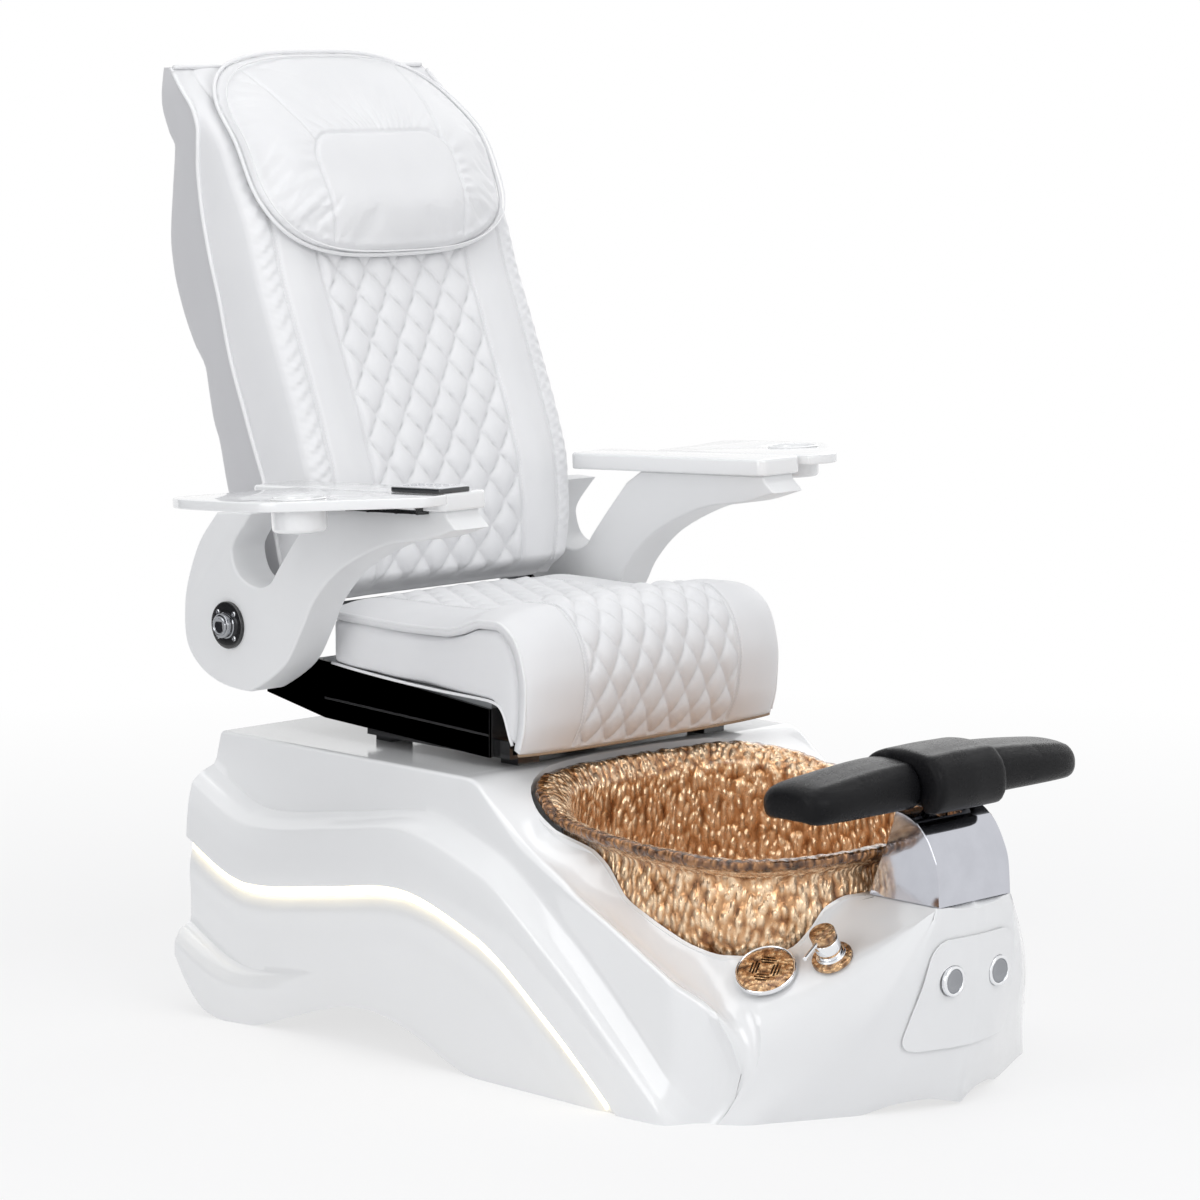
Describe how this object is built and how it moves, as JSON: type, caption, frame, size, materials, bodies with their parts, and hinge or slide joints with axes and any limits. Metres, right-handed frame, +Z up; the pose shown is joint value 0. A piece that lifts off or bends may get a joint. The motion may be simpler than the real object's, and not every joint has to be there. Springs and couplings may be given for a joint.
{
  "type": "pedicure spa chair",
  "caption": "Pedicure spa chair: white upholstered reclining seat on a sculpted glossy base with lit ribs, bronze glass foot basin, padded footrest and side trays.",
  "frame": {"origin": "centre of the chair's footprint, on the floor", "axes": "+Y to the rear of the chair, +X to the sitter's left, +Z up"},
  "size_m": [1.229, 1.5199, 1.488],
  "materials": {
    "white_gloss": "gloss white moulding",
    "white_satin": "satin white moulding",
    "white_leather": "smooth white upholstery leather",
    "black_leather": "satin black upholstery leather",
    "chrome": "polished",
    "bronze_glass": "hammered bronze glass",
    "bronze": "textured bronze",
    "steel": "plain steel",
    "black_metal": "gloss black",
    "frame_paint": "grey powder coat",
    "black_plastic": "matte",
    "grey_plastic": "matte",
    "rubber": "matte",
    "light": "warm white diffuser",
    "glass_black": "dark touch glass"
  },
  "bodies": {
    "base": {"base_shell": "white_gloss", "base_frame": "frame_paint", "levelling_feet": "rubber", "basin": "bronze_glass", "basin_cradle": "frame_paint", "drain_fitting": "chrome", "drain_pipe": "grey_plastic", "jet_motor": "black_plastic", "jet_cover": "chrome", "supply_hoses": "grey_plastic", "mixer_base": "chrome", "vent_ring": "chrome", "vent_grille": "bronze", "light_strip_left": "light", "light_strip_right": "light", "front_panel": "white_gloss", "button_bezels": "chrome", "pedestal_cover": "chrome", "footrest_sleeve": "steel", "seat_base": "black_metal", "seat_rails": "steel", "slide_motor": "steel", "control_box": "black_plastic", "power_inlet": "black_plastic"},
    "seat": {"seat_carriage": "black_metal", "slide_rod": "chrome", "seat_pan": "frame_paint", "seat_cushion": "white_leather", "seat_cover": "white_leather", "recline_motor": "black_plastic", "pivot_hubs": "steel"},
    "back": {"back_frame": "frame_paint", "back_shell": "white_satin", "back_cushion": "white_leather", "head_pillow": "white_leather", "massage_track": "steel"},
    "massage": {"massage_carriage": "black_plastic"},
    "recline_ram": {"recline_rod": "chrome"},
    "arm_left": {"arm_panel_left": "white_satin", "arm_pad_left": "white_gloss", "touch_remote": "glass_black", "tray_hinge_left": "black_metal"},
    "arm_right": {"arm_panel_right": "white_satin", "arm_pad_right": "white_gloss", "tray_hinge_right": "black_metal"},
    "side_tray_left": {"tray_left": "white_gloss", "cup_left": "white_gloss"},
    "side_tray_right": {"tray_right": "white_gloss", "cup_right": "white_gloss"},
    "footrest_lift": {"footrest_post": "chrome", "footrest_hinge_pin": "steel"},
    "footrest": {"footrest_bracket": "black_metal", "footrest_pad_left": "black_leather", "footrest_pad_middle": "black_leather", "footrest_pad_right": "black_leather", "footrest_bolts": "steel"},
    "push_left": {"button_left": "chrome"},
    "push_right": {"button_right": "chrome"},
    "mixer_turn": {"mixer_body": "chrome"},
    "mixer_lever": {"mixer_handle": "chrome"}
  },
  "joints": [
    {"name": "seat_slide", "type": "slide", "parent": "base", "child": "seat", "axis": [0, -1, 0], "range_m": [-0.01, 0.11]},
    {"name": "recline", "type": "hinge", "parent": "seat", "child": "back", "pos_m": [0, 0.455, 0.61], "axis": [-1, 0, 0], "range_deg": [-8, 25]},
    {"name": "recline_stroke", "type": "slide", "parent": "seat", "child": "recline_ram", "axis": [0, -1, 0], "range_m": [-0.015, 0.045]},
    {"name": "massage_travel", "type": "slide", "parent": "back", "child": "massage", "axis": [0, 0.2675, 0.9635], "range_m": [-0.19, 0.12]},
    {"name": "arm_left_lift", "type": "hinge", "parent": "seat", "child": "arm_left", "pos_m": [-0.34, 0.455, 0.61], "axis": [-1, 0, 0], "range_deg": [0, 65]},
    {"name": "arm_right_lift", "type": "hinge", "parent": "seat", "child": "arm_right", "pos_m": [0.34, 0.455, 0.61], "axis": [-1, 0, 0], "range_deg": [0, 65]},
    {"name": "tray_left_fold", "type": "hinge", "parent": "arm_left", "child": "side_tray_left", "pos_m": [-0.392, 0.16557, 0.82752], "axis": [0, -0.9988, 0.0489], "range_deg": [0, 90]},
    {"name": "tray_right_fold", "type": "hinge", "parent": "arm_right", "child": "side_tray_right", "pos_m": [0.392, 0.16557, 0.82752], "axis": [0, 0.9988, -0.0489], "range_deg": [0, 90]},
    {"name": "footrest_height", "type": "slide", "parent": "base", "child": "footrest_lift", "axis": [0, 0, 1], "range_m": [0, 0.05]},
    {"name": "footrest_tilt", "type": "hinge", "parent": "footrest_lift", "child": "footrest", "pos_m": [0, -0.682, 0.43], "axis": [-1, 0, 0], "range_deg": [-20, 30]},
    {"name": "button_left_press", "type": "slide", "parent": "base", "child": "push_left", "axis": [0, 1, 0], "range_m": [0, 0.003], "stiffness_N_per_m": 400, "springref_m": -0.003},
    {"name": "button_right_press", "type": "slide", "parent": "base", "child": "push_right", "axis": [0, 1, 0], "range_m": [0, 0.003], "stiffness_N_per_m": 400, "springref_m": -0.003},
    {"name": "mixer_turn", "type": "hinge", "parent": "base", "child": "mixer_turn", "pos_m": [-0.1826, -0.6454, 0.2301], "axis": [-0.5419, -0.078, 0.8368], "range_deg": [-45, 45]},
    {"name": "mixer_lift", "type": "hinge", "parent": "mixer_turn", "child": "mixer_lever", "pos_m": [-0.19116, -0.64514, 0.27393], "axis": [-0.2141, 0.9756, -0.0477], "range_deg": [0, 15]}
  ],
  "couplings": [
    {"joint": "recline_stroke", "follows": "recline", "m_per_rad": 0.1}
  ]
}
